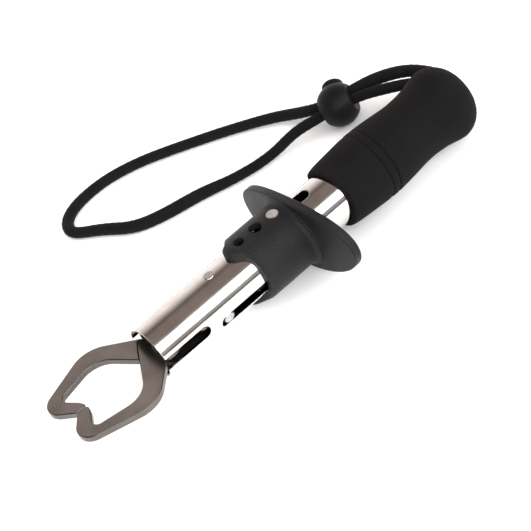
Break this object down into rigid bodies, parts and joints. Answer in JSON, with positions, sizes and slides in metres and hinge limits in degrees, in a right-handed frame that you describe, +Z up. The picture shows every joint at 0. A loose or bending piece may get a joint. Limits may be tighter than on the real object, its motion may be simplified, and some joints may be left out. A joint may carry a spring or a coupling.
{
  "type": "lip grip",
  "caption": "Hand-held fish-lip grip: slotted steel barrel, crossed jaws worked by a flanged sliding trigger, foam grip and wrist cord with a cord lock.",
  "frame": {"origin": "on the surface the tool rests on, below the middle of its length and below the tube's axis", "axes": "+X towards the jaws along the tube, +Y towards the tool's left flank, +Z up through the trigger pin"},
  "size_m": [0.2423, 0.1736, 0.0393],
  "materials": {
    "polished_steel": "polished stainless tube",
    "jaw_steel": "satin grey jaw plates",
    "dark_steel": "plain sheet steel inside the tube",
    "pin_steel": "turned pins and rivets",
    "spring_steel": "drawn spring wire",
    "collar_plastic": "black moulded collar with fine grain",
    "inner_plastic": "black moulded inner plugs",
    "foam": "black closed-cell foam",
    "cord_black": "black braided cord",
    "lock_plastic": "dark grey satin plastic"
  },
  "bodies": {
    "body": {"barrel_tube": "polished_steel", "jaw_pivot_pin": "pin_steel", "pivot_washers": "pin_steel", "jaw_bracket": "dark_steel", "bracket_rivet": "pin_steel", "rivet_sleeves": "pin_steel", "return_spring": "spring_steel", "spring_stop": "inner_plastic", "stop_pins": "pin_steel", "foam_grip": "foam", "butt_core": "inner_plastic", "core_pins": "pin_steel", "cord_knot": "cord_black", "wrist_cord": "cord_black", "cord_lock_body": "lock_plastic", "cord_lock_spring": "spring_steel"},
    "trigger": {"trigger_collar": "collar_plastic", "trigger_pin": "pin_steel", "draw_rod": "dark_steel", "fork_rod_pin": "pin_steel", "draw_fork": "dark_steel", "cam_pin": "pin_steel", "guide_pin": "pin_steel", "spring_washer": "pin_steel"},
    "jaw_left": {"jaw_left": "jaw_steel"},
    "jaw_right": {"jaw_right": "jaw_steel"},
    "lock_button": {"cord_lock_button": "lock_plastic"}
  },
  "joints": [
    {"name": "trigger_slide", "type": "slide", "parent": "body", "child": "trigger", "axis": [-1, 0, 0], "range_m": [0, 0.012], "stiffness_N_per_m": 600, "springref_m": -0.006, "deforming": ["return_spring"]},
    {"name": "jaw_left_pivot", "type": "hinge", "parent": "body", "child": "jaw_left", "pos_m": [0.06435, 0, 0.0196], "axis": [0, 0, 1], "range_deg": [0, 23]},
    {"name": "jaw_right_pivot", "type": "hinge", "parent": "body", "child": "jaw_right", "pos_m": [0.06435, 0, 0.0196], "axis": [0, 0, -1], "range_deg": [0, 23]},
    {"name": "lock_button_press", "type": "slide", "parent": "body", "child": "lock_button", "axis": [0.4877, 0.8101, -0.3254], "range_m": [0, 0.0014], "stiffness_N_per_m": 800, "springref_m": -0.002, "deforming": ["cord_lock_spring"]}
  ],
  "couplings": [
    {"joint": "jaw_left_pivot", "follows": "trigger_slide", "rad_per_m": 33.452},
    {"joint": "jaw_right_pivot", "follows": "trigger_slide", "rad_per_m": 33.452}
  ]
}
